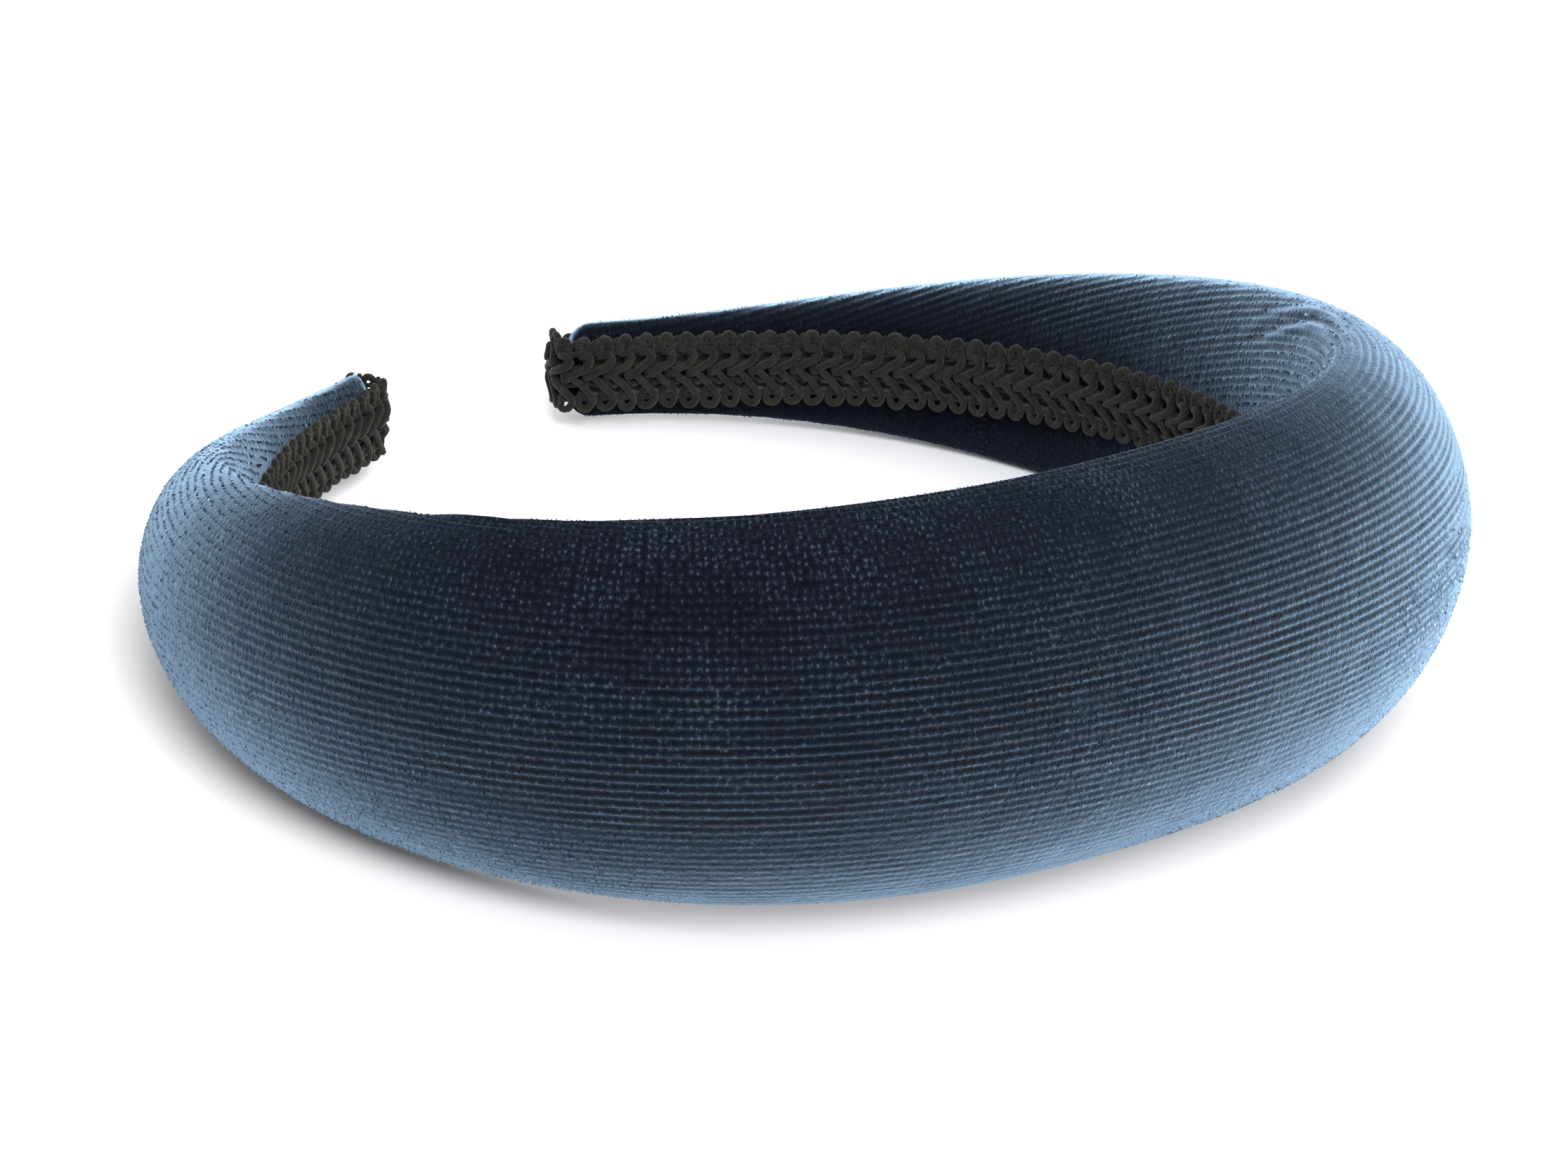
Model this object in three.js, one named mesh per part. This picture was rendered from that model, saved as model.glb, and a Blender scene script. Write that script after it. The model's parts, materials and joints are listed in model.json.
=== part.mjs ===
// Padded velvet headband with a gimp braid lining, lying on a flat surface.
// Millimetres, +Z up. The crown faces -Y, the two tips face +Y, X is symmetric.
// Every piece is a loft over stations along the band, so the layers share their curves.
// The band is elastic: it is parted at the crown and hinged there, so each piece has
// a left and a right half with a hairline gap between them.

import * as THREE from 'three';
import { mergeVertices } from 'three/addons/utils/BufferGeometryUtils.js';

// ---- driving dimensions ----------------------------------------------------------------

// Plan curve of the inner face: half its length, and the bend radius at the crown,
// the shoulder, the side, the ear and the tip, equally spaced, blending evenly between.
const HALF_LENGTH = 178.6;
const BEND_RADII = [157, 51, 50, 61.5, 330];

// Cross-section: half width and thickness at the crown and at the tip, with the powers
// that shape the taper between them.
const HALF_WIDTH = { crown: 23.8, tip: 6.2, start: 2.83, fall: 2.48 };
const THICKNESS = { crown: 22.7, tip: 3.9, start: 3.3, fall: 2.05 };

// Corner form, crown value and tip value: the flat strip in the middle of the inner face
// (half width), the level of the widest point (share of the thickness), and how square
// the inner and the outer corners are (2 is an ellipse).
const FLAT_HALF = [5.0, 3.0];
const WIDEST_LEVEL = [0.265, 0.3];
const INNER_SQUARENESS = [1.51, 1.79];
const OUTER_SQUARENESS = [1.81, 1.97];

// Layers, from the inner face outwards.
const GAP = 0.12;             // clearance between neighbouring layers
const FILM = 0.15;            // dried glue film
const CLOTH = 0.75;           // velvet cover
const SLIT_HALF = 1.2;        // between the two turned hems, under the braid
const CORE_THICK = [1.6, 1.1];
const CORE_HALF = { crown: 9.0, tip: 3.2 };
const CORE_SHORT = 1.0;       // core stops this far inside the cover's end
const FOAM_STATIONS = 23;     // stations that the foam covers, counted from the crown

// Gimp braid lining.
const BRAID_HALF = 5.0;
const BRAID_THICK = 1.8;
const BRAID_TURN = 5.0;       // length turned over onto the outer face
const BRAID_CORNER = 1.1;     // radius of each of the two corners it is folded round at a tip
const BRAID_GLUE_HALF = 3.8;

// Crown parting and mesh density.
const PARTING = 0.15;         // half of the gap between the left and right halves
const STATIONS = 26;

const VELVET = new THREE.MeshStandardMaterial({ color: 0x1d3557, roughness: 0.95, metalness: 0 });
const FOAM = new THREE.MeshStandardMaterial({ color: 0xe9e4d4, roughness: 0.9, metalness: 0 });
const PLASTIC = new THREE.MeshStandardMaterial({ color: 0x17181a, roughness: 0.35, metalness: 0 });
const GLUE = new THREE.MeshStandardMaterial({ color: 0xd9c48f, roughness: 0.3, metalness: 0 });
const BRAID = new THREE.MeshStandardMaterial({ color: 0x2a2a27, roughness: 0.9, metalness: 0 });

// ---- plan curve ------------------------------------------------------------------------

const CURVE_STEPS = 720;

function bendAt(share) {
  const place = Math.min(share, 0.99999) * (BEND_RADII.length - 1);
  const span = Math.floor(place);
  const near = 1 / BEND_RADII[span];
  const far = 1 / BEND_RADII[span + 1];
  return near + (far - near) * (place - span);
}

// Points of the right half's inner face with the direction the band runs in.
function walkCurve() {
  const step = HALF_LENGTH / CURVE_STEPS;
  const points = [{ x: 0, y: 0, turn: 0 }];
  for (let i = 0; i < CURVE_STEPS; i += 1) {
    const last = points[i];
    const turn = last.turn + bendAt((i + 0.5) / CURVE_STEPS) * step;
    const middle = (last.turn + turn) / 2;
    points.push({ x: last.x + Math.cos(middle) * step, y: last.y + Math.sin(middle) * step, turn });
  }
  return points;
}

const CURVE = walkCurve();

// The place at a length along the inner face; beyond the tip the curve runs on straight.
function along(length) {
  const place = Math.min(Math.max(length / HALF_LENGTH, 0), 1) * CURVE_STEPS;
  const index = Math.min(Math.floor(place), CURVE_STEPS - 1);
  const part = place - index;
  const a = CURVE[index];
  const b = CURVE[index + 1];
  const turn = a.turn + (b.turn - a.turn) * part;
  const over = Math.max(length - HALF_LENGTH, 0);
  return {
    x: a.x + (b.x - a.x) * part + Math.cos(turn) * over,
    y: a.y + (b.y - a.y) * part + Math.sin(turn) * over,
    turn,
  };
}

// A point at a length along the band, a level outwards from the inner face, and across.
function placed(length, level, across) {
  const at = along(length);
  return new THREE.Vector3(
    at.x + Math.sin(at.turn) * level,
    at.y - Math.cos(at.turn) * level,
    across,
  );
}

// ---- section ---------------------------------------------------------------------------

const mix = (pair, share) => pair[0] + (pair[1] - pair[0]) * share;

function taper(size, share) {
  const drop = Math.pow(1 - Math.pow(Math.min(share, 1), size.start), size.fall);
  return size.tip + (size.crown - size.tip) * drop;
}

// The closed band's section at a length, shrunk by an inset all round.
function sectionAt(length, inset) {
  const share = Math.min(length / HALF_LENGTH, 1);
  const blend = share * share;
  const thick = taper(THICKNESS, share);
  return {
    wide: taper(HALF_WIDTH, share) - inset,
    top: thick - inset,
    level: mix(WIDEST_LEVEL, blend) * thick,
    low: inset,
    flat: mix(FLAT_HALF, blend),
    inner: 2 / mix(INNER_SQUARENESS, blend),
    outer: 2 / mix(OUTER_SQUARENESS, blend),
  };
}

// Half of the section's outline as [across, level] from the flat strip to the ridge.
function halfOutline(section, innerCount, outerCount) {
  const points = [];
  for (let i = 0; i <= innerCount; i += 1) {
    const angle = (Math.PI / 2) * (i / innerCount);
    const rise = Math.pow(Math.cos(angle), section.inner);
    const reach = Math.pow(Math.sin(angle), section.inner);
    points.push([
      section.flat + (section.wide - section.flat) * reach,
      section.level - (section.level - section.low) * rise,
    ]);
  }
  for (let i = 1; i < outerCount; i += 1) {
    const angle = (Math.PI / 2) * (i / outerCount);
    points.push([
      section.wide * Math.pow(Math.cos(angle), section.outer),
      section.level + (section.top - section.level) * Math.pow(Math.sin(angle), section.outer),
    ]);
  }
  return points;
}

// The part of a half outline beyond a distance across, which falls next to its second point.
function cutFrom(points, across) {
  const first = points.findIndex((point) => point[0] > across);
  const [before, after] = [points[first - 1], points[first]];
  const part = (across - before[0]) / (after[0] - before[0]);
  const start = [across, before[1] + (after[1] - before[1]) * part];
  return [start, ...points.slice(2)];
}

const mirrored = (points) => points.map(([across, level]) => [-across, level]).reverse();

function rectangle(acrossLow, acrossHigh, levelLow, levelHigh) {
  return [
    [acrossLow, levelLow],
    [acrossHigh, levelLow],
    [acrossHigh, levelHigh],
    [acrossLow, levelHigh],
  ];
}

// Rectangle with its four corners cut, for the moulded core and the braid strip.
function cutRectangle(halfWide, levelLow, levelHigh, cut) {
  return [
    [-halfWide + cut, levelLow],
    [halfWide - cut, levelLow],
    [halfWide, levelLow + cut],
    [halfWide, levelHigh - cut],
    [halfWide - cut, levelHigh],
    [-halfWide + cut, levelHigh],
    [-halfWide, levelHigh - cut],
    [-halfWide, levelLow + cut],
  ];
}

// ---- lofting ---------------------------------------------------------------------------

// Joins rings of points into one closed solid. The outline gives the end faces.
function loft(rings, firstOutline, lastOutline) {
  const count = rings[0].length;
  const positions = [];
  rings.forEach((ring) => ring.forEach((p) => positions.push(p.x, p.y, p.z)));
  const index = [];
  for (let r = 0; r < rings.length - 1; r += 1) {
    for (let i = 0; i < count; i += 1) {
      const j = (i + 1) % count;
      const a = r * count + i;
      const b = r * count + j;
      const c = (r + 1) * count + j;
      const d = (r + 1) * count + i;
      index.push(a, b, c, a, c, d);
    }
  }
  const cap = (outline, base, flip) => {
    const shape = outline.map(([u, v]) => new THREE.Vector2(u, v));
    THREE.ShapeUtils.triangulateShape(shape, []).forEach(([i, j, k]) => {
      if (flip) index.push(base + i, base + k, base + j);
      else index.push(base + i, base + j, base + k);
    });
  };
  cap(firstOutline, 0, true);
  cap(lastOutline, (rings.length - 1) * count, false);
  const geometry = new THREE.BufferGeometry();
  geometry.setAttribute('position', new THREE.Float32BufferAttribute(positions, 3));
  geometry.setIndex(index);
  return geometry;
}

// Volume inside a closed surface; negative when its faces point inwards.
function signedVolume(geometry) {
  const position = geometry.getAttribute('position');
  const index = geometry.getIndex();
  const [a, b, c] = [new THREE.Vector3(), new THREE.Vector3(), new THREE.Vector3()];
  let sum = 0;
  for (let i = 0; i < index.count; i += 3) {
    a.fromBufferAttribute(position, index.getX(i));
    b.fromBufferAttribute(position, index.getX(i + 1));
    c.fromBufferAttribute(position, index.getX(i + 2));
    sum += a.dot(b.cross(c)) / 6;
  }
  return sum;
}

function faceOutwards(geometry) {
  if (signedVolume(geometry) < 0) {
    const index = geometry.getIndex().array;
    for (let i = 0; i < index.length; i += 3) {
      const held = index[i + 1];
      index[i + 1] = index[i + 2];
      index[i + 2] = held;
    }
  }
  const merged = mergeVertices(geometry, 1e-4);
  merged.computeVertexNormals();
  return merged;
}

function stations(from, to, count) {
  const lengths = [];
  for (let i = 0; i < count; i += 1) lengths.push(from + (to - from) * (i / (count - 1)));
  return lengths;
}

// Every layer has its faces at the same lengths, so the facets stay parallel.
const LENGTHS = stations(PARTING, HALF_LENGTH, STATIONS);
const endingAt = (end) => [...LENGTHS.slice(0, -1), end];

// A piece of the right half whose section at each length comes from a function.
function sweep(lengths, outlineAt) {
  const outlines = lengths.map(outlineAt);
  const rings = outlines.map((outline, i) => outline.map(([across, level]) => (
    placed(lengths[i], level, across))));
  return faceOutwards(loft(rings, outlines[0], outlines[outlines.length - 1]));
}

function mirrorAcrossX(geometry) {
  const copy = geometry.clone();
  const position = copy.getAttribute('position');
  for (let i = 0; i < position.count; i += 1) position.setX(i, -position.getX(i));
  return faceOutwards(copy);
}

// ---- the pieces ------------------------------------------------------------------------

const CORE_LOW = CLOTH + GAP + FILM + GAP;
const coreThick = (length) => mix(CORE_THICK, length / HALF_LENGTH);
const coreHalf = (length) => {
  const share = length / HALF_LENGTH;
  return CORE_HALF.crown + (CORE_HALF.tip - CORE_HALF.crown) * share * share;
};

// Springy moulded band that carries everything.
function coreBand() {
  const end = HALF_LENGTH - CORE_SHORT;
  return sweep(endingAt(end), (length) => {
    const half = coreHalf(length) - (length > end - 0.1 ? 0.8 : 0);
    return cutRectangle(half, CORE_LOW, CORE_LOW + coreThick(length), 0.25);
  });
}

// Glue film between the core's outer face and the foam.
function foamGlue() {
  return sweep(LENGTHS.slice(0, FOAM_STATIONS - 1), (length) => {
    const low = CORE_LOW + coreThick(length) + GAP;
    const half = coreHalf(length) - 0.4;
    return rectangle(-half, half, low, low + FILM);
  });
}

// Domed foam pad, wrapped a little round the core's edges.
function foamPad() {
  return sweep(LENGTHS.slice(0, FOAM_STATIONS), (length) => {
    const section = sectionAt(length, CLOTH + GAP);
    const side = coreHalf(length) + 0.3;
    const half = cutFrom(halfOutline(section, 4, 7), side + 0.3);
    const seat = CORE_LOW + coreThick(length) + GAP + FILM + GAP;
    const foot = Math.min(half[0][1] + 0.1, seat - 0.1);
    const rightSide = [[side, seat], [side, foot], ...half];
    return [...rightSide, [0, section.top], ...mirrored(rightSide)];
  });
}

// Velvet wrapped over the foam, its hems turned onto the core's inner face.
function velvetCover() {
  return sweep(LENGTHS, (length) => {
    const skin = sectionAt(length, 0);
    const back = sectionAt(length, CLOTH);
    const outside = [[SLIT_HALF, 0], ...halfOutline(skin, 4, 7)];
    const inside = [[SLIT_HALF, CLOTH], ...halfOutline(back, 4, 7)];
    const ridge = [...outside, [0, skin.top], ...mirrored(outside)];
    const lining = [...inside, [0, back.top], ...mirrored(inside)];
    return [...ridge, ...lining.reverse()];
  });
}

// Dried glue holding one turned hem to the core.
function hemGlue(side) {
  return sweep(endingAt(HALF_LENGTH - 2), (length) => {
    const low = CLOTH + GAP;
    const from = SLIT_HALF + 0.4;
    const to = mix(FLAT_HALF, Math.pow(length / HALF_LENGTH, 2)) - 0.2;
    return side > 0
      ? rectangle(from, to, low, low + FILM)
      : rectangle(-to, -from, low, low + FILM);
  });
}

// Glue film between the hems and the braid.
function braidGlue() {
  return sweep(endingAt(HALF_LENGTH - 1), () => (
    rectangle(-BRAID_GLUE_HALF, BRAID_GLUE_HALF, -GAP - FILM, -GAP)));
}

// Gimp braid along the inner face, round the tip and onto the outer face.
function gimpBraid() {
  const inside = -(2 * GAP + FILM + BRAID_THICK / 2);
  const outside = (length) => taper(THICKNESS, length / HALF_LENGTH) + GAP + BRAID_THICK / 2;
  const end = HALF_LENGTH + 0.3;
  const rings = [];
  const outline = cutRectangle(BRAID_HALF, -BRAID_THICK / 2, BRAID_THICK / 2, 0.4);
  const addRing = (length, level, lean) => {
    const centre = placed(length, level, 0);
    const at = along(length);
    const normalTurn = at.turn + lean;
    rings.push(outline.map(([across, offset]) => new THREE.Vector3(
      centre.x + Math.sin(normalTurn) * offset,
      centre.y - Math.cos(normalTurn) * offset,
      across,
    )));
  };
  endingAt(end).forEach((length) => addRing(length, inside, 0));
  const addCorner = (centre, from, first) => {
    for (let i = first; i <= 3; i += 1) {
      const swing = from + (Math.PI / 2) * (i / 3);
      const level = centre - Math.cos(swing) * BRAID_CORNER;
      addRing(end + Math.sin(swing) * BRAID_CORNER, level, -swing);
    }
  };
  addCorner(inside + BRAID_CORNER, 0, 1);
  addCorner(outside(HALF_LENGTH) - BRAID_CORNER, Math.PI / 2, 0);
  stations(end, HALF_LENGTH - BRAID_TURN, 3).slice(1).forEach((length) => {
    addRing(length, outside(length), -Math.PI);
  });
  return faceOutwards(loft(rings, outline, outline));
}

// ---- assembly --------------------------------------------------------------------------

const rested = new THREE.Group();

function addHalves(name, geometry, material) {
  [['left', mirrorAcrossX(geometry)], ['right', geometry]].forEach(([side, shape]) => {
    const mesh = new THREE.Mesh(shape, material);
    mesh.name = `${side}_${name}`;
    rested.add(mesh);
  });
}

addHalves('core_band', coreBand(), PLASTIC);
addHalves('foam_glue', foamGlue(), GLUE);
addHalves('foam_pad', foamPad(), FOAM);
addHalves('velvet_cover', velvetCover(), VELVET);
addHalves('upper_hem_glue', hemGlue(1), GLUE);
addHalves('lower_hem_glue', hemGlue(-1), GLUE);
addHalves('braid_glue', braidGlue(), GLUE);
addHalves('gimp_braid', gimpBraid(), BRAID);

// Lowest point of the meshes ahead of or behind a line when the band leans back.
function lowest(lean, wanted) {
  const point = new THREE.Vector3();
  let low = Infinity;
  rested.children.forEach((mesh) => {
    const position = mesh.geometry.getAttribute('position');
    for (let i = 0; i < position.count; i += 1) {
      point.fromBufferAttribute(position, i);
      if (wanted(point)) low = Math.min(low, point.y * Math.sin(lean) + point.z * Math.cos(lean));
    }
  });
  return low;
}

// The lean at which the crown's lower edge and the tips' lower edges touch the same floor.
function restingLean() {
  let flat = 0;
  let steep = -0.5;
  for (let i = 0; i < 40; i += 1) {
    const lean = (flat + steep) / 2;
    const crownLow = lowest(lean, (point) => point.y < 30);
    const tipsLow = lowest(lean, (point) => point.y > 90);
    if (crownLow < tipsLow) flat = lean;
    else steep = lean;
  }
  return (flat + steep) / 2;
}

const lean = restingLean();
rested.rotation.x = lean;
rested.updateMatrixWorld(true);
const bounds = new THREE.Box3().setFromObject(rested, true);
rested.position.set(0, -(bounds.min.y + bounds.max.y) / 2, -bounds.min.z);

const headband = new THREE.Group();
headband.add(rested);
headband.updateMatrixWorld(true);

export default headband;
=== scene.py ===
"""Padded velvet headband lined with gimp braid, lying on a pale studio floor.

Every piece is built along one plan curve, the band's inner face, from the same driving
dimensions as the CAD model: a length along the band, a level outwards from the inner face
and a distance across. Lengths are in metres where nothing else is said.
"""

import json
import math

import bmesh
import bpy
import numpy as np
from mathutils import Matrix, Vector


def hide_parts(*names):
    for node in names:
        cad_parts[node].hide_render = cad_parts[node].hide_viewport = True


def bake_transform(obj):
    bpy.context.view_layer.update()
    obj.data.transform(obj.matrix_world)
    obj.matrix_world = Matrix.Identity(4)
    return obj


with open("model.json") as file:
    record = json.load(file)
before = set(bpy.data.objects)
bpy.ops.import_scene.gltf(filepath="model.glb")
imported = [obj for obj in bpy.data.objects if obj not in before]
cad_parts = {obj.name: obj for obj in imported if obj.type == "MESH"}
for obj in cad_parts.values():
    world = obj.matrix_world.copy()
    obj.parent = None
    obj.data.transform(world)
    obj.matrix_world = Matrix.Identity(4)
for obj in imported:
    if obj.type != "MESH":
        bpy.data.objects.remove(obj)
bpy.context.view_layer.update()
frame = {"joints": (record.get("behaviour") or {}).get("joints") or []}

# ---- driving dimensions, the same as the CAD model's ------------------------------------
MM = 0.001
HALF_LENGTH = 178.6 * MM
BEND_RADII = np.array([157, 51, 50, 61.5, 330]) * MM
HALF_WIDTH = dict(crown=23.8 * MM, tip=6.2 * MM, start=2.83, fall=2.48)
THICKNESS = dict(crown=22.7 * MM, tip=3.9 * MM, start=3.3, fall=2.05)
FLAT_HALF = (5.0 * MM, 3.0 * MM)
WIDEST_LEVEL = (0.265, 0.3)
INNER_SQUARENESS = (1.51, 1.79)
OUTER_SQUARENESS = (1.81, 1.97)
LAYER_GAP = 0.12 * MM
FILM = 0.15 * MM
CLOTH = 0.75 * MM
SLIT_HALF = 1.2 * MM
CORE_THICK = (1.6 * MM, 1.1 * MM)
CORE_HALF = (9.0 * MM, 3.2 * MM)
FOAM_END = 0.88
PIVOT_LEVEL = 22.75 * MM  # the hinge lies just outside the crown's ridge
CORE_LOW = CLOTH + LAYER_GAP + FILM + LAYER_GAP  # level of the core's inner face

# ---- the cloth and the braid ------------------------------------------------------------
RIB_PITCH = 1.1 * MM
RIB_HEIGHT = 0.15 * MM
RIB_SHAPE = (-1.0, 0.25, 0.5, 0.25)  # from one groove to the next, in rib heights
TUFT_PITCH = 0.75 * MM
NAP_LEAN = 0.50  # the pile leans towards the lower edge: its slope above the ridge
LOW_LEAN = (0.08, 0.40)  # and below the ridge, at the crown and towards the tips
LEAN_RUN = (60, 120)  # where one changes to the other, in millimetres from the crown
LEAN_BLEND = 16.0  # how softly the lean changes at the ridge, in millimetres
BRAID_THICK = 1.8 * MM
BRAID_TURN = 5.0 * MM
STITCH_PITCH = 2.7 * MM
BRAID_CORNER = 1.1 * MM  # radius of each corner it is folded round, at half its thickness

# ---- the band's own frame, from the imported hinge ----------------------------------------
hinge = frame["joints"][0]
band_up = -np.array(hinge["axis"], float)
band_right = np.array([1.0, 0.0, 0.0])
band_back = np.cross(band_up, band_right)
band_origin = np.array(hinge["pos_m"], float) + band_back * PIVOT_LEVEL


def to_row(points):
    """Points of the band's own frame (right, towards the tips, up) in the row frame."""
    p = np.asarray(points, float)
    return (
        band_origin
        + p[..., 0:1] * band_right
        + p[..., 1:2] * band_back
        + p[..., 2:3] * band_up
    )


# ---- plan curve and section -------------------------------------------------------------
CURVE_STEPS = 1440
QUARTER_STEPS = 240  # points round each quarter of the cloth's section
FLAT_STEPS = 12  # points over the flat of its inner face
curve_length = np.linspace(0, HALF_LENGTH, CURVE_STEPS + 1)
curve_bend = np.interp(
    (np.arange(CURVE_STEPS) + 0.5) / CURVE_STEPS, np.linspace(0, 1, 5), 1 / BEND_RADII
)
curve_step = HALF_LENGTH / CURVE_STEPS
curve_turn = np.concatenate([[0], np.cumsum(curve_bend * curve_step)])
curve_middle = (curve_turn[1:] + curve_turn[:-1]) / 2
curve_x = np.concatenate([[0], np.cumsum(np.cos(curve_middle) * curve_step)])
curve_y = np.concatenate([[0], np.cumsum(np.sin(curve_middle) * curve_step)])


def along(length):
    """Plan place and direction at signed lengths; the right half is positive."""
    side = np.where(length < 0, -1.0, 1.0)
    reach = np.abs(length)
    turn = np.interp(reach, curve_length, curve_turn)
    over = np.maximum(reach - HALF_LENGTH, 0)
    x = np.interp(reach, curve_length, curve_x) + np.cos(turn) * over
    y = np.interp(reach, curve_length, curve_y) + np.sin(turn) * over
    return x * side, y, turn * side


def placed(length, level, across):
    """Points in the row frame at lengths along, levels outwards and distances across."""
    x, y, turn = along(length)
    return to_row(
        np.stack(
            np.broadcast_arrays(
                x + np.sin(turn) * level, y - np.cos(turn) * level, across
            ),
            -1,
        )
    )


def mix(pair, share):
    """The value at a share of the way from the first of a pair to the second."""
    return pair[0] + (pair[1] - pair[0]) * share


def smooth_step(part):
    """A part from 0 to 1 that starts and ends gently."""
    return part * part * (3 - 2 * part)


def taper(size, share):
    """A size of the section at a share of the way from the crown to a tip."""
    drop = (1 - np.minimum(share, 1) ** size["start"]) ** size["fall"]
    return size["tip"] + (size["crown"] - size["tip"]) * drop


def section_outline(length, inset, count=QUARTER_STEPS):
    """Half of the section, from the ridge round to the middle of the inner face.

    Gives distances across and levels, one row for each length. The first count points are
    the outer quarter, the next count - 1 the inner quarter, and the rest are the flat.
    """
    share = np.clip(np.abs(length) / HALF_LENGTH, 0, 1)[:, None]
    blend = share**2
    thick = taper(THICKNESS, share)
    wide = taper(HALF_WIDTH, share) - inset
    level = mix(WIDEST_LEVEL, blend) * thick
    flat = mix(FLAT_HALF, blend)
    angle = np.linspace(0, np.pi / 2, count)[None, :]
    outer = 2 / mix(OUTER_SQUARENESS, blend)
    inner = 2 / mix(INNER_SQUARENESS, blend)
    sine, cosine = np.sin(angle), np.maximum(np.cos(angle), 0)
    outer_across = wide * sine**outer
    outer_level = level + (thick - inset - level) * cosine**outer
    inner_across = flat + (wide - flat) * cosine**inner
    inner_level = level - (level - inset) * sine**inner
    strip = np.linspace(1, 0, FLAT_STEPS)[None, 1:]
    across = np.concatenate([outer_across, inner_across[:, 1:], flat * strip], 1)
    levels = np.concatenate(
        [outer_level, inner_level[:, 1:], np.full_like(flat, inset) + 0 * strip], 1
    )
    return across, levels


def arc_lengths(across, levels):
    """How far round from the ridge each point of an outline is."""
    steps = np.hypot(np.diff(across, axis=1), np.diff(levels, axis=1))
    return np.concatenate([np.zeros((len(across), 1)), np.cumsum(steps, 1)], 1)


# ---- making meshes ----------------------------------------------------------------------
SAME_PLACE = 0.002 * MM
FLOOR_GAP = 0.01 * MM


def make_object(name, points, faces, smooth=True, uv=None):
    """A mesh object from points and faces; uv gives one pair for each point."""
    mesh = bpy.data.meshes.new(name)
    mesh.from_pydata([tuple(p) for p in points], [], [tuple(f) for f in faces])
    mesh.update()
    if smooth:
        mesh.polygons.foreach_set("use_smooth", [True] * len(mesh.polygons))
    if uv is not None:
        layer = mesh.uv_layers.new(name="Cloth")
        corner = np.zeros(len(mesh.loops), np.int64)
        mesh.loops.foreach_get("vertex_index", corner)
        layer.data.foreach_set("uv", np.asarray(uv, np.float32)[corner].ravel())
    thing = bpy.data.objects.new(name, mesh)
    bpy.context.scene.collection.objects.link(thing)
    return thing


def loft_faces(rings, count, closed_ends=True):
    """Faces that join rings of count points, with flat end faces."""
    a = np.arange(rings - 1)[:, None] * count + np.arange(count)[None, :]
    b = np.arange(rings - 1)[:, None] * count + (np.arange(count)[None, :] + 1) % count
    quads = np.stack([a, b, b + count, a + count], -1).reshape(-1, 4).tolist()
    if closed_ends:
        last = (rings - 1) * count
        quads.append(list(range(count))[::-1])
        quads.append([last + i for i in range(count)])
    return quads


def face_outwards(thing):
    """Turns the faces of a closed mesh to point out."""
    work = bmesh.new()
    work.from_mesh(thing.data)
    bmesh.ops.recalc_face_normals(work, faces=work.faces)
    if work.calc_volume(signed=True) < 0:
        bmesh.ops.reverse_faces(work, faces=work.faces)
    work.to_mesh(thing.data)
    work.free()


def weld(thing):
    """Joins points of a piece that lie in the same place."""
    work = bmesh.new()
    work.from_mesh(thing.data)
    bmesh.ops.remove_doubles(work, verts=work.verts, dist=SAME_PLACE)
    work.to_mesh(thing.data)
    work.free()


def above_floor(points):
    """Points no lower than the floor that the cloth is pressed flat against."""
    points[:, 2] = np.maximum(points[:, 2], FLOOR_GAP)
    return points


def wander(count, smoothness, seed):
    """Smooth random values of about unit size, the same on every run."""
    own = np.random.default_rng(seed)
    knots = own.normal(size=max(int(count / smoothness) + 4, 4))
    place = np.linspace(0, len(knots) - 3.001, count) + 1
    low = place.astype(int)
    part = smooth_step(place - low)
    return knots[low] * (1 - part) + knots[low + 1] * part


def bends_at_crown(piece):
    """The piece runs from tip to tip; its placement is baked into its points."""
    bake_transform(piece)


def flexes(piece, node):
    """Bakes the piece's placement into its points and hides the same part of both halves, which
    it stands in for.
    """
    bends_at_crown(piece)
    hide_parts(f"left_{node}", f"right_{node}")


# ---- materials --------------------------------------------------------------------------
def node_maker(material):
    """Functions that make and join nodes of a material."""
    tree = material.node_tree

    def make(kind, **settings):
        node = tree.nodes.new(kind)
        for key, value in settings.items():
            setattr(node, key, value)
        return node

    def join(source, target):
        tree.links.new(source, target)

    return make, join


def new_material(name):
    """A material with one shader, and the functions that make and join its nodes."""
    material = bpy.data.materials.new(name)
    material.use_nodes = True
    material.node_tree.nodes.clear()
    make, join = node_maker(material)
    output = make("ShaderNodeOutputMaterial")
    shader = make("ShaderNodeBsdfPrincipled")
    join(shader.outputs[0], output.inputs["Surface"])
    return material, shader, make, join


def ramp(make, stops):
    """A colour ramp with a colour at each position."""
    node = make("ShaderNodeValToRGB")
    elements = node.color_ramp.elements
    while len(elements) < len(stops):
        elements.new(0.5)
    for element, (position, colour) in zip(elements, stops):
        element.position = position
        element.color = (*colour, 1)
    return node


def cell_pattern(make, join, cloth, size, randomness):
    """Cells of the given size in millimetres, with the distance from each one's middle."""
    place = make("ShaderNodeMapping")
    place.inputs["Scale"].default_value = (1 / size[0], 1 / size[1], 1)
    join(cloth.outputs[0], place.inputs[0])
    cells = make("ShaderNodeTexVoronoi", feature="F1", voronoi_dimensions="2D")
    cells.inputs["Scale"].default_value = 1.0
    cells.inputs["Randomness"].default_value = randomness
    join(place.outputs[0], cells.inputs["Vector"])
    return cells


def cloth_noise(make, join, cloth, scale, detail, roughness=0.55):
    """Noise over the cloth; scale gives its waves per millimetre along and across."""
    place = make("ShaderNodeMapping")
    place.inputs["Scale"].default_value = (scale[0], scale[1], 1)
    join(cloth.outputs[0], place.inputs[0])
    noise = make("ShaderNodeTexNoise", noise_dimensions="2D")
    noise.inputs["Scale"].default_value = 1.0
    noise.inputs["Detail"].default_value = detail
    noise.inputs["Roughness"].default_value = roughness
    join(place.outputs[0], noise.inputs["Vector"])
    return noise.outputs[0]


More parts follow.
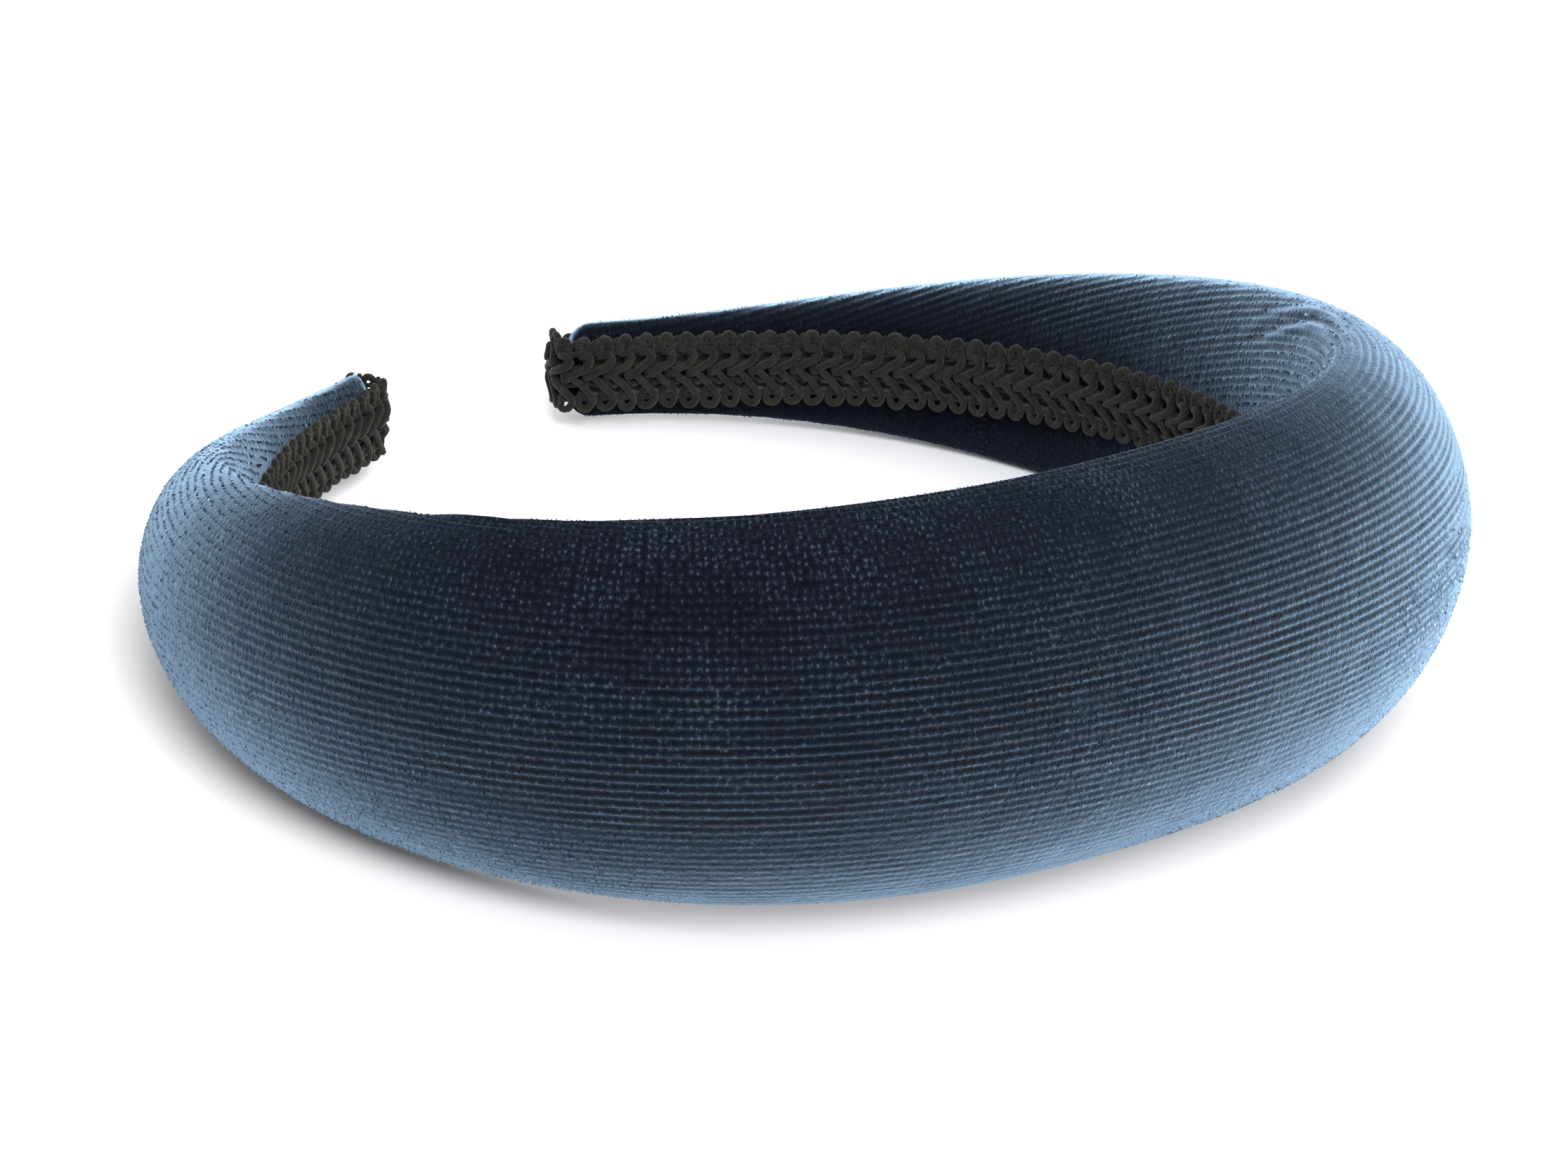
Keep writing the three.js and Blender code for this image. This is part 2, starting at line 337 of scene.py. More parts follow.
def sum_of(make, join, terms):
    """The sum of sockets, each times its factor, as a socket."""
    total = None
    for socket, factor in terms:
        step = make("ShaderNodeMath", operation="MULTIPLY_ADD")
        step.inputs[1].default_value = factor
        step.inputs[2].default_value = 0
        join(socket, step.inputs[0])
        if total is not None:
            join(total, step.inputs[2])
        total = step.outputs[0]
    return total


def maths(make, join, operation, *terms):
    """A Math node; a term is a socket or a number."""
    node = make("ShaderNodeMath", operation=operation)
    for place, term in enumerate(terms):
        if isinstance(term, (int, float)):
            node.inputs[place].default_value = term
        else:
            join(term, node.inputs[place])
    return node.outputs[0]


def map_range(make, join, value, source, target):
    """A value carried smoothly from one range to another."""
    node = make("ShaderNodeMapRange", interpolation_type="SMOOTHSTEP")
    join(value, node.inputs["Value"])
    node.inputs["From Min"].default_value = source[0]
    node.inputs["From Max"].default_value = source[1]
    node.inputs["To Min"].default_value = target[0]
    node.inputs["To Max"].default_value = target[1]
    return node.outputs[0]


def nap_relief(make, join, run, rise):
    """A height whose slope is the lean of the pile, in millimetres.

    It goes by the run from the crown and the rise from the ridge.
    """
    low_lean = map_range(make, join, run, LEAN_RUN, LOW_LEAN)
    high = maths(make, join, "SMOOTH_MAX", rise, 0.0, LEAN_BLEND)
    low = maths(make, join, "SUBTRACT", rise, high)
    low = maths(make, join, "MULTIPLY", low, low_lean)
    return maths(make, join, "MULTIPLY_ADD", high, NAP_LEAN, low)


def velvet_material():
    """Navy velvet: nearly black, with ribs, tufts and the sheen of its pile."""
    material, shader, make, join = new_material("navy_velvet")
    shader.inputs["Roughness"].default_value = 0.9
    shader.inputs["Specular IOR Level"].default_value = 0.05
    shader.inputs["Sheen Weight"].default_value = 1.0
    shader.inputs["Sheen Roughness"].default_value = 0.385
    shader.inputs["Sheen Tint"].default_value = (0.48, 0.72, 1.0, 1)
    cloth = make("ShaderNodeUVMap", uv_map="Cloth")
    place = make("ShaderNodeSeparateXYZ")
    join(cloth.outputs[0], place.inputs[0])
    run = maths(make, join, "ABSOLUTE", place.outputs[0])
    rise = place.outputs[1]
    tufts = cell_pattern(make, join, cloth, (TUFT_PITCH / MM, RIB_PITCH / MM), 0.5)
    fibre = cloth_noise(make, join, cloth, (5.0, 2.2), 3)
    nap = cloth_noise(make, join, cloth, (0.10, 0.10), 6, 0.6)
    # the surface: tufts, fibres, slow changes of the nap and its lean, in millimetres
    height = sum_of(
        make,
        join,
        (
            (tufts.outputs["Distance"], -0.055),
            (fibre, 0.07),
            (nap, 0.45),
            (nap_relief(make, join, run, rise), 1.0),
        ),
    )
    bump = make("ShaderNodeBump")
    bump.inputs["Strength"].default_value = 1.0
    bump.inputs["Distance"].default_value = MM
    join(height, bump.inputs["Height"])
    join(bump.outputs[0], shader.inputs["Normal"])
    # the colour: nearly black between the tufts (painted shade), blue on their tops, darker at
    # the tips
    towards_tip = map_range(make, join, run, LEAN_RUN, (0.0, 1.0))
    painted_shade_and_tone = sum_of(
        make,
        join,
        (
            (tufts.outputs["Distance"], -0.95),
            (fibre, 1.15),
            (nap, 0.5),
            (towards_tip, -0.24),
        ),
    )
    face_on = ramp(
        make,
        [
            (0.20, (0.001, 0.001, 0.003)),
            (0.50, (0.002, 0.003, 0.006)),
            (0.72, (0.007, 0.009, 0.017)),
            (0.98, (0.042, 0.054, 0.086)),
        ],
    )
    join(painted_shade_and_tone, face_on.inputs[0])
    join(face_on.outputs[0], shader.inputs["Base Color"])
    return material


def braid_material():
    """Charcoal gimp: dull twisted yarn, paler where the cords stand proud and darker between, a
    painted highlight and shade.
    """
    material, shader, make, join = new_material("gimp_yarn")
    shader.inputs["Roughness"].default_value = 0.85
    shader.inputs["Specular IOR Level"].default_value = 0.15
    shader.inputs["Sheen Weight"].default_value = 0.12
    shader.inputs["Sheen Roughness"].default_value = 0.5
    shader.inputs["Sheen Tint"].default_value = (0.75, 0.75, 0.68, 1)
    yarn = make("ShaderNodeUVMap", uv_map="Cloth")
    twist_place = make("ShaderNodeMapping")
    twist_place.inputs["Rotation"].default_value = (0, 0, math.radians(38))
    join(yarn.outputs[0], twist_place.inputs[0])
    twist = make("ShaderNodeTexWave", wave_type="BANDS", bands_direction="X")
    twist.inputs["Scale"].default_value = 0.9
    twist.inputs["Distortion"].default_value = 1.2
    join(twist_place.outputs[0], twist.inputs["Vector"])
    bump = make("ShaderNodeBump")
    bump.inputs["Strength"].default_value = 0.6
    bump.inputs["Distance"].default_value = 0.05 * MM
    join(twist.outputs["Fac"], bump.inputs["Height"])
    join(bump.outputs[0], shader.inputs["Normal"])
    coordinates = make("ShaderNodeTexCoord")
    patch = make("ShaderNodeTexNoise")
    patch.inputs["Scale"].default_value = 900
    patch.inputs["Detail"].default_value = 4
    join(coordinates.outputs["Object"], patch.inputs["Vector"])
    # the colour follows the twist: painted highlight where it stands proud, painted shade in its
    # grooves, with random patches
    painted_shade_and_tone = make("ShaderNodeMath", operation="MULTIPLY_ADD")
    painted_shade_and_tone.inputs[1].default_value = 0.35
    join(twist.outputs["Fac"], painted_shade_and_tone.inputs[0])
    join(patch.outputs[0], painted_shade_and_tone.inputs[2])
    colours = ramp(
        make,
        [
            (0.35, (0.003, 0.003, 0.002)),
            (0.75, (0.009, 0.009, 0.008)),
            (1.0, (0.022, 0.021, 0.018)),
        ],
    )
    join(painted_shade_and_tone.outputs[0], colours.inputs[0])
    join(colours.outputs[0], shader.inputs["Base Color"])
    return material


def textured_material(name, kind, settings, output, relief, stops):
    """A material with relief and colour from one texture that goes through the piece."""
    material, shader, make, join = new_material(name)
    coordinates = make("ShaderNodeTexCoord")
    texture = make(kind)
    for setting, value in settings.items():
        texture.inputs[setting].default_value = value
    join(coordinates.outputs["Object"], texture.inputs["Vector"])
    bump = make("ShaderNodeBump")
    bump.inputs["Distance"].default_value = relief
    join(texture.outputs[output], bump.inputs["Height"])
    join(bump.outputs[0], shader.inputs["Normal"])
    colours = ramp(make, stops)
    join(texture.outputs[output], colours.inputs[0])
    join(colours.outputs[0], shader.inputs["Base Color"])
    return material, shader, make, join, texture


def foam_material():
    """Open-cell foam, cream, pitted all over, with painted shade darkening the pits."""
    material, shader, *_ = textured_material(
        "open_foam",
        "ShaderNodeTexVoronoi",
        {"Scale": 1400},
        "Distance",
        0.3 * MM,
        # dark at the middle of each cell, where the relief is lowest: painted shade in the pits
        [(0.0, (0.30, 0.26, 0.18)), (0.6, (0.78, 0.73, 0.60))],
    )
    shader.inputs["Roughness"].default_value = 0.95
    return material


def plastic_material():
    """Black springy plastic with a fine mould texture."""
    material, shader, make, join, grain = textured_material(
        "sprung_plastic",
        "ShaderNodeTexNoise",
        {"Scale": 2500},
        0,
        0.02 * MM,
        [(0.3, (0.006, 0.006, 0.007)), (0.8, (0.014, 0.014, 0.016))],
    )
    finish = ramp(make, [(0.3, (0.28, 0.28, 0.28)), (0.7, (0.45, 0.45, 0.45))])
    join(grain.outputs[0], finish.inputs[0])
    join(finish.outputs[0], shader.inputs["Roughness"])
    return material


def glue_material():
    """Dried black glue, laid in strokes."""
    material, shader, *_ = textured_material(
        "black_glue",
        "ShaderNodeTexNoise",
        {"Scale": 420, "Distortion": 1.5},
        0,
        0.05 * MM,
        [(0.3, (0.008, 0.008, 0.007)), (0.7, (0.020, 0.019, 0.017))],
    )
    shader.inputs["Roughness"].default_value = 0.3
    return material


# ---- velvet cover -----------------------------------------------------------------------
CLOTH_ROWS = 221
TIP_ROUNDING = 3 * MM
SLOPE_RUN = 0.3 * MM  # length of the face that its slope is taken over
PADDING_LUMPS = 0.12 * MM  # slow unevenness of the padding under the cloth
RIB_UNEVENNESS = 0.3  # share of a rib's height
RIB_CHANGE = (-16, 20)  # the ribs grow to full height from 16 mm below the ridge, over 20 mm


def cloth_lengths():
    """Lengths of the cloth's rows from tip to tip, closer together at the rounded ends."""
    straight = HALF_LENGTH - TIP_ROUNDING
    body = np.linspace(-straight, straight, CLOTH_ROWS)
    ends = TIP_ROUNDING * np.array([0.72, 0.45, 0.22, 0.06])
    return np.concatenate([-HALF_LENGTH + ends[::-1], body, HALF_LENGTH - ends])


def tip_narrowing(length):
    """How far the cloth draws in over a tip's rounded end: 1 along the band, less there."""
    left = max(HALF_LENGTH - abs(length), 0) / TIP_ROUNDING
    return 1.0 if left >= 1 else 0.45 + 0.55 * math.sqrt(1 - (1 - left) ** 2)


class ClothFace:
    """One face of the stretched cloth, by length and distance round from the ridge."""

    def __init__(self, lengths, inset):
        self.lengths = lengths
        self.across, self.levels = section_outline(lengths, inset)
        self.arc = arc_lengths(self.across, self.levels)
        self.edge = self.reach_to(np.full(len(lengths), SLIT_HALF))

    def reach_to(self, aside):
        """Distances from the ridge to where each row's inner face is so far from its middle."""
        inner = slice(QUARTER_STEPS, None)
        return np.array(
            [
                np.interp(-a, -across[inner], arc[inner])
                for a, across, arc in zip(aside, self.across, self.arc)
            ]
        )

    def row(self, r, distance, lift=0.0):
        """Points of one row at signed distances from the ridge, lifted off the face."""
        reach = np.minimum(np.abs(distance), self.edge[r])
        across = np.interp(reach, self.arc[r], self.across[r])
        level = np.interp(reach, self.arc[r], self.levels[r])
        near = np.maximum(reach - SLOPE_RUN / 2, 0)
        turn_across = np.interp(near + SLOPE_RUN, self.arc[r], self.across[r])
        turn_across -= np.interp(near, self.arc[r], self.across[r])
        turn_level = np.interp(near + SLOPE_RUN, self.arc[r], self.levels[r])
        turn_level -= np.interp(near, self.arc[r], self.levels[r])
        size = np.maximum(np.hypot(turn_across, turn_level), 1e-9)
        across = across - turn_level / size * lift
        level = level + turn_across / size * lift
        close = tip_narrowing(self.lengths[r])
        middle = THICKNESS["tip"] * 0.5
        level = middle + (level - middle) * (0.35 + 0.65 * close)
        run = np.full(np.shape(reach), self.lengths[r])
        return placed(run, level, across * close * np.sign(distance))


# Crescent folds inside the bends: middle along the band, distance from the ridge, rise (mm).
RIM_FOLDS = ((69, 30.6, 0.50), (72, 28.2, 0.28))
FOLD_HALF_LENGTH = 11
FOLD_HALF_WIDTH = 0.65
FOLD_BOW = 0.018  # a fold moves away from the ridge by this times its run squared
FOLD_GROOVE = dict(depth=0.6, off=1.3, half_width=0.7)  # beside it; depth as a share of rise


def rim_folds(length, distance):
    """Small folds where the cloth is squeezed together at the inside of each bend."""
    away = np.abs(distance) / MM
    lift = np.zeros_like(away)
    for middle, rim, rise in RIM_FOLDS:
        off = abs(length) / MM - middle
        gap = away - rim - FOLD_BOW * off**2
        beside = (gap + FOLD_GROOVE["off"]) / FOLD_GROOVE["half_width"]
        ridge = np.exp(-((gap / FOLD_HALF_WIDTH) ** 2))
        ridge -= FOLD_GROOVE["depth"] * np.exp(-(beside**2))
        lift += rise * math.exp(-((off / FOLD_HALF_LENGTH) ** 2)) * ridge
    return lift * MM


def rib_lift(order, share):
    """Height of the ribs at columns of the cloth.

    They are faint below the ridge, softer past the bends and flatten out at the tips.
    """
    rise = np.array(RIB_SHAPE)[order % len(RIB_SHAPE)] * RIB_HEIGHT
    distance = order * RIB_PITCH / len(RIB_SHAPE) / MM
    part = np.clip((distance - RIB_CHANGE[0]) / RIB_CHANGE[1], 0, 1)
    high = 0.32 + 0.68 * smooth_step(part)
    bent = min(max((share - 0.30) / 0.25, 0), 1)
    return rise * high * (1 - 0.45 * bent) * min(1.0, (1.02 - share) * 8)


def grid_faces(columns, last):
    """Faces of a grid whose rows end at column numbers last on both sides of its middle.

    Gives the point of each row and column too.
    """
    rows = len(last)
    middle = (columns - 1) // 2
    order = np.arange(columns)[None, :] - middle
    column = np.clip(order, -last[:, None], last[:, None]) + middle
    index = np.arange(rows)[:, None] * columns + column
    quads = np.stack([index[:-1, :-1], index[:-1, 1:], index[1:, 1:], index[1:, :-1]], -1)
    faces = []
    for quad in quads.reshape(-1, 4).tolist():
        corners = list(dict.fromkeys(quad))
        if len(corners) > 2:
            faces.append(corners)
    return faces, index


def velvet_cover():
    """The cloth: ribbed outside, plain inside, closed along its hems and at the tips."""
    lengths = cloth_lengths()
    outside = ClothFace(lengths, 0.0)
    inside = ClothFace(lengths, CLOTH)
    rows = len(lengths)
    per_rib = len(RIB_SHAPE)
    step = RIB_PITCH / per_rib
    ribs = int(math.ceil(outside.edge.max() / RIB_PITCH))
    fine = np.arange(-ribs * per_rib, ribs * per_rib + 1)
    coarse = np.arange(-ribs, ribs + 1)
    fine_last = np.ceil(outside.edge / step).astype(int)
    coarse_last = np.ceil(outside.edge / RIB_PITCH).astype(int)
    swell = np.stack([wander(rows, 18, seed) for seed in range(20, 29)], 1)
    swell_place = np.linspace(-ribs * RIB_PITCH, ribs * RIB_PITCH, swell.shape[1])
    uneven = np.stack([wander(rows, 4, 300 + rib) for rib in range(2 * ribs + 1)], 1)
    points = []
    for r in range(rows):
        share = abs(lengths[r]) / HALF_LENGTH
        lumps = np.interp(fine * step, swell_place, swell[r]) * PADDING_LUMPS * (1 - share)
        lumps += rim_folds(lengths[r], fine * step)
        each = 1 + RIB_UNEVENNESS * np.interp(fine / per_rib, coarse, uneven[r])
        flat_hem = np.clip((outside.edge[r] - np.abs(fine * step)) / (5 * MM) - 0.6, 0.1, 1)
        lift = (rib_lift(fine, share) * each + lumps) * flat_hem
        points.append(outside.row(r, fine * step, lift))
    for r in range(rows):
        stretch = inside.edge[r] / outside.edge[r]
        points.append(inside.row(r, coarse * RIB_PITCH * stretch))
    points = above_floor(np.concatenate(points))
    faces, out_index = grid_faces(len(fine), fine_last)
    back, in_index = grid_faces(len(coarse), coarse_last)
    in_index = in_index + rows * len(fine)
    faces += [[i + rows * len(fine) for i in face[::-1]] for face in back]
    # hems: one strip along each side
    for side in (0, -1):
        out_edge, in_edge = out_index[:, side], in_index[:, side]
        for r in range(rows - 1):
            strip = [out_edge[r], out_edge[r + 1], in_edge[r + 1], in_edge[r]]
            faces.append(strip if side == 0 else strip[::-1])
    # ends: one face for each rib
    for r in (0, rows - 1):
        for rib in range(2 * ribs):
            near = list(dict.fromkeys(in_index[r, rib : rib + 2].tolist()))
            start = rib * per_rib
            far = list(dict.fromkeys(out_index[r, start : start + per_rib + 1].tolist()))
            if len(near) + len(far) > 2 and len(far) > 1:
                end = near[::-1] + far
                faces.append(end if r else end[::-1])
    u = np.concatenate([np.repeat(lengths, len(fine)), np.repeat(lengths, len(coarse))])
    v = np.concatenate([np.tile(fine * step, rows), np.tile(coarse * RIB_PITCH, rows)])
    uv = np.stack([u, v], -1) / MM
    used = np.unique(np.concatenate([np.array(face) for face in faces]))
    renumber = np.full(len(points), -1)
    renumber[used] = np.arange(len(used))
    faces = [renumber[face].tolist() for face in faces]
    cover = make_object("velvet_cover", points[used], faces, uv=uv[used])
    face_outwards(cover)
    cover.data.materials.append(velvet_material())
    return cover, outside


cover, cloth_outside = velvet_cover()


# ---- velvet pile ------------------------------------------------------------------------
PILE_PITCH = 0.5 * MM
PILE_HEIGHT = 0.19 * MM
PILE_HALF = (0.13 * MM, 0.22 * MM)
PILE_ENDS = (2.2 * MM, 2.0 * MM)  # what it stops short of the left and the right tip
PILE_STANDING = 0.93  # share of the places that have a tuft
PILE_STRAY = dict(along=0.09 * MM, across=0.07 * MM, tip=0.12 * MM)
PILE_RUFFLE = 0.16  # how far the pile's shading strays, as a slope


def nap_lean(run, distance):
    """The slope of the pile towards the lower edge at a place on the cloth."""
    part = np.clip((np.abs(run) / MM - LEAN_RUN[0]) / (LEAN_RUN[1] - LEAN_RUN[0]), 0, 1)
    low = mix(LOW_LEAN, smooth_step(part))
    high = np.clip(0.5 + distance / MM / (2 * LEAN_BLEND), 0, 1)
    return low + (NAP_LEAN - low) * high


def velvet_pile():
    """Short leaning tufts along every rib, rooted in the cloth and shaded like it."""
    own = np.random.default_rng(11)
    lengths = np.arange(-HALF_LENGTH + PILE_ENDS[0], HALF_LENGTH - PILE_ENDS[1], PILE_PITCH)
    face = ClothFace(lengths, 0.0)
    flat_reach = face.reach_to(mix(FLAT_HALF, (np.abs(lengths) / HALF_LENGTH) ** 2))
    points, uvs, normals = [], [], []
    for r, length in enumerate(lengths):
        last = int((flat_reach[r] - 0.2 * MM) / RIB_PITCH)
        ribs = (np.arange(-last, last) + 0.5) * RIB_PITCH
        ribs = ribs[own.random(len(ribs)) < PILE_STANDING]
        count = len(ribs)
        shift = own.normal(size=count) * PILE_STRAY["along"]
        slide = own.normal(size=count) * PILE_STRAY["across"]
        tall = PILE_HEIGHT * (0.7 + 0.6 * own.random(count))
        slant = own.normal(size=count) * PILE_STRAY["tip"]
        base = face.row(r, ribs + slide)
        across = face.row(r, ribs + slide + SLOPE_RUN) - base
        across /= np.linalg.norm(across, axis=1, keepdims=True)
        out = face.row(r, ribs + slide, 0.12 * MM) - base
        out /= np.linalg.norm(out, axis=1, keepdims=True)
        run = np.cross(across, out)
        lean = nap_lean(length, ribs)[:, None]
        base = base + run * shift[:, None]
        tip = base + out * tall[:, None] + run * slant[:, None]
        tip = tip - across * lean * tall[:, None]
        half = np.array(PILE_HALF) * (0.8 + 0.4 * own.random((count, 2)))
        corners = np.stack(
            [
                base - run * half[:, :1] - across * half[:, 1:],
                base + run * half[:, :1] - across * half[:, 1:],
                base + across * half[:, 1:] * 1.1,
                tip,
            ],
            1,
        )
        points.append(corners.reshape(-1, 3))
        pair = np.stack([length + shift, ribs + slide], -1) / MM
        uvs.append(np.repeat(pair, 4, 0))
        ruffle = own.normal(size=(count, 2)) * PILE_RUFFLE
        normal = out - across * (lean + ruffle[:, :1]) + run * ruffle[:, 1:]
        normal /= np.linalg.norm(normal, axis=1, keepdims=True)
        normals.append(np.repeat(normal, 4, 0))
    points, uv, normals = map(np.concatenate, (points, uvs, normals))
    start = np.arange(0, len(points), 4)[:, None]
    corners = ((0, 1, 3), (1, 2, 3), (2, 0, 3), (0, 2, 1))
    faces = np.stack([start + np.array(c) for c in corners], 1).reshape(-1, 3).tolist()
    pile = make_object("velvet_pile", above_floor(points), faces, uv=uv)
    face_outwards(pile)
    pile.data.normals_split_custom_set_from_vertices(normals.tolist())
    return pile


pile = velvet_pile()
pile.data.materials.append(cover.data.materials[0])
flexes(cover, "velvet_cover")
bends_at_crown(pile)


# ---- gimp braid -------------------------------------------------------------------------
BRAID_BASE = -(2 * LAYER_GAP + FILM)
TIP_TOP = THICKNESS["tip"] + LAYER_GAP
TURN_START = HALF_LENGTH + 0.3 * MM
INNER_CORNER = BRAID_CORNER - BRAID_THICK / 2
CORNER_RUN = math.pi / 2 * BRAID_CORNER
FOLD_RISE = TIP_TOP - BRAID_BASE - 2 * INNER_CORNER
BRAID_REACH = TURN_START + 2 * CORNER_RUN + FOLD_RISE + BRAID_TURN
TURN_NARROWING = 0.24  # how much the turned end is drawn in


def braid_point(run, across, height):
    """A point of the braid: a run along it from the crown, across, and up from its back.

    The braid lies on the inner face, is folded flat round the tip with two small corners
    and ends on the outer face.
    """
    side = np.where(run < 0, -1.0, 1.0)
    reach = np.abs(run)
    beyond = reach - TURN_START
    first = np.clip(beyond / CORNER_RUN, 0, 1)
    rise = np.clip(beyond - CORNER_RUN, 0, FOLD_RISE)
    second = np.clip((beyond - CORNER_RUN - FOLD_RISE) / CORNER_RUN, 0, 1)
    back = np.maximum(beyond - 2 * CORNER_RUN - FOLD_RISE, 0)
    bend = math.pi / 2 * (first + second)
    radius = INNER_CORNER + height
    length = np.minimum(reach, TURN_START) + np.sin(bend) * radius - back
    outer_slope = taper(THICKNESS, np.clip((HALF_LENGTH - back) / HALF_LENGTH, 0, 1))
    level = BRAID_BASE + INNER_CORNER + rise - np.cos(bend) * radius
    level = level + np.where(back > 0, outer_slope - THICKNESS["tip"], 0)
    # the turned end is drawn in and hugs the domed cloth
    across = across * (1 - TURN_NARROWING * second)
    crest = (1 - WIDEST_LEVEL[1]) * THICKNESS["tip"]
    squareness = OUTER_SQUARENESS[1]
    aside = np.clip(np.abs(across) / HALF_WIDTH["tip"], 0, 0.97) ** squareness
    level = level - second * crest * (1 - (1 - aside) ** (1 / squareness))
    return placed(length * side, level, across)


CORD_GIRTH = 3.2  # once round a cord on its texture, in millimetres


def cord_mesh(run, across, height, radius, sides=7):
    """A tube along a line given in the braid's own terms, with its end faces."""
    centre = braid_point(run, across, height)
    tangent = np.gradient(centre, axis=0)
    tangent /= np.maximum(np.linalg.norm(tangent, axis=1, keepdims=True), 1e-12)
    # carry the frame along the cord so that it never flips
    normal = np.zeros_like(tangent)
    start = np.cross(tangent[0], band_up)
    if np.linalg.norm(start) < 0.25:
        start = np.cross(tangent[0], band_back)
    normal[0] = start / np.linalg.norm(start)
    for i in range(1, len(tangent)):
        n = normal[i - 1] - tangent[i] * np.dot(normal[i - 1], tangent[i])
        normal[i] = n / max(np.linalg.norm(n), 1e-9)
    other = np.cross(tangent, normal)
    angle = np.linspace(0, 2 * np.pi, sides, endpoint=False)
    size = np.broadcast_to(radius, (len(centre),))[:, None, None]
    ring = (
        np.cos(angle)[None, :, None] * normal[:, None, :]
        + np.sin(angle)[None, :, None] * other[:, None, :]
    )
    points = (centre[:, None, :] + ring * size).reshape(-1, 3)
    steps = np.linalg.norm(np.diff(centre, axis=0), axis=1)
    travel = np.concatenate([[0], np.cumsum(steps)]) / MM
    round_cord = np.tile(angle / (2 * np.pi) * CORD_GIRTH, len(centre))
    uv = np.stack([np.repeat(travel, sides), round_cord], -1)
    return points, loft_faces(len(centre), sides), uv


def gathered(parts):
    """Several meshes as one set of points, faces and uv pairs."""
    points, faces, uvs, start = [], [], [], 0
    for part_points, part_faces, part_uv in parts:
        points.append(part_points)
        uvs.append(part_uv)
        faces.extend([[i + start for i in face] for face in part_faces])
        start += len(part_points)
    return np.concatenate(points), faces, np.concatenate(uvs)


# One stitch of each cord, in millimetres: along the braid, across it, above its back.
# The plain side runs from the spine in an S and closes in a round edge loop.
PLAIN_STITCH = (
    (0.0, 0.3, 1.05),
    (-0.9, -0.4, 1.40),
    (-1.8, -1.2, 1.35),
    (-2.8, -2.4, 1.15),
    (-3.3, -3.5, 0.95),
    (-2.7, -4.5, 0.85),
    (-1.8, -4.3, 0.75),
    (-1.6, -3.4, 0.66),
    (-2.2, -1.8, 0.62),
)
# The other side curls over in a hook and goes on into a tall loop at the edge.
HOOKED_STITCH = (
    (0.3, -0.3, 1.25),
    (-1.0, 0.5, 1.42),
    (-2.2, 1.1, 1.40),
    (-2.9, 2.0, 1.35),
    (-2.5, 2.8, 1.15),
    (-1.7, 2.6, 0.85),
    (-1.4, 3.5, 0.95),
    (-1.7, 4.5, 0.95),
    (-2.4, 4.6, 0.80),
    (-2.8, 3.6, 0.70),
    (-2.6, 1.2, 0.68),
)
STITCHES = int(2 * BRAID_REACH / STITCH_PITCH) - 1
STITCHED_HALF = STITCHES * STITCH_PITCH / 2


def smooth_line(points, steps):
    """A line through the points, with so many steps between neighbours."""
    before, after = points[:-3], points[3:]
    near, far = points[1:-2], points[2:-1]
    t = np.linspace(0, 1, steps, endpoint=False)[None, :, None]
    near, far, before, after = (p[:, None, :] for p in (near, far, before, after))
    slope_near, slope_far = (far - before) / 2, (after - near) / 2
    line = (
        near
        + slope_near * t
        + (3 * (far - near) - 2 * slope_near - slope_far) * t**2
        + (2 * (near - far) + slope_near + slope_far) * t**3
    )
    return line.reshape(-1, 3)


def stitched_cord(stitch, radius, steps, sides, seed):
    """A cord that repeats one stitch from the right tip to the left, never quite alike."""
    own = np.random.default_rng(seed)
    stitch = np.array(stitch) * MM
    starts = STITCHED_HALF + 0.9 * MM - STITCH_PITCH * np.arange(STITCHES)
    points = np.repeat(stitch[None], STITCHES, 0)
    points[:, :, 0] += starts[:, None]
    points += own.normal(size=points.shape) * np.array((0.07, 0.07, 0.03)) * MM
    points[:, :, 1] += own.normal(size=(STITCHES, 1)) * 0.07 * MM
    line = smooth_line(points.reshape(-1, 3), steps)
    thick = radius * (1 + 0.06 * wander(len(line), 6, seed + 1))
    return cord_mesh(line[:, 0], line[:, 1], line[:, 2], thick, sides)


def edge_knobs():
    """A thin cord wound along the hooked edge, which makes it knobbly."""
    t = np.linspace(0, 2 * np.pi * STITCHES, STITCHES * 10)
    run = np.linspace(STITCHED_HALF, -STITCHED_HALF, len(t)) + 0.4 * MM * np.sin(t)
    across = 4.1 * MM + 0.5 * MM * np.cos(t) + 0.08 * MM * wander(len(t), 14, 60)
    height = 1.05 * MM + 0.25 * MM * np.sin(t + 1) + 0.04 * MM * wander(len(t), 9, 61)
    return cord_mesh(run, across, height, 0.34 * MM, 6)


def core_thread(across, seed):
    """A straight thread that the cords are worked round."""
    end = STITCHED_HALF - 1.4 * MM
    run = np.linspace(-end, end, 420)
    line = across + 0.1 * MM * wander(len(run), 9, seed)
    return cord_mesh(run, line, np.full_like(run, 0.66 * MM), 0.40 * MM, 6)


def gimp_braid():
    """The braid as its cords: two that are stitched, a thin one, and four threads."""
    parts = [
        stitched_cord(PLAIN_STITCH, 0.47 * MM, 3, 7, 40),
        stitched_cord(HOOKED_STITCH, 0.52 * MM, 3, 7, 50),
        edge_knobs(),
    ]
    for order, across in enumerate((-3.2, -1.2, 0.9, 2.8)):
        parts.append(core_thread(across * MM, 80 + order))
    points, faces, uv = gathered(parts)
    piece = make_object("gimp_braid", points, faces, uv=uv)
    piece.data.materials.append(braid_material())
    return piece


braid = gimp_braid()
flexes(braid, "gimp_braid")


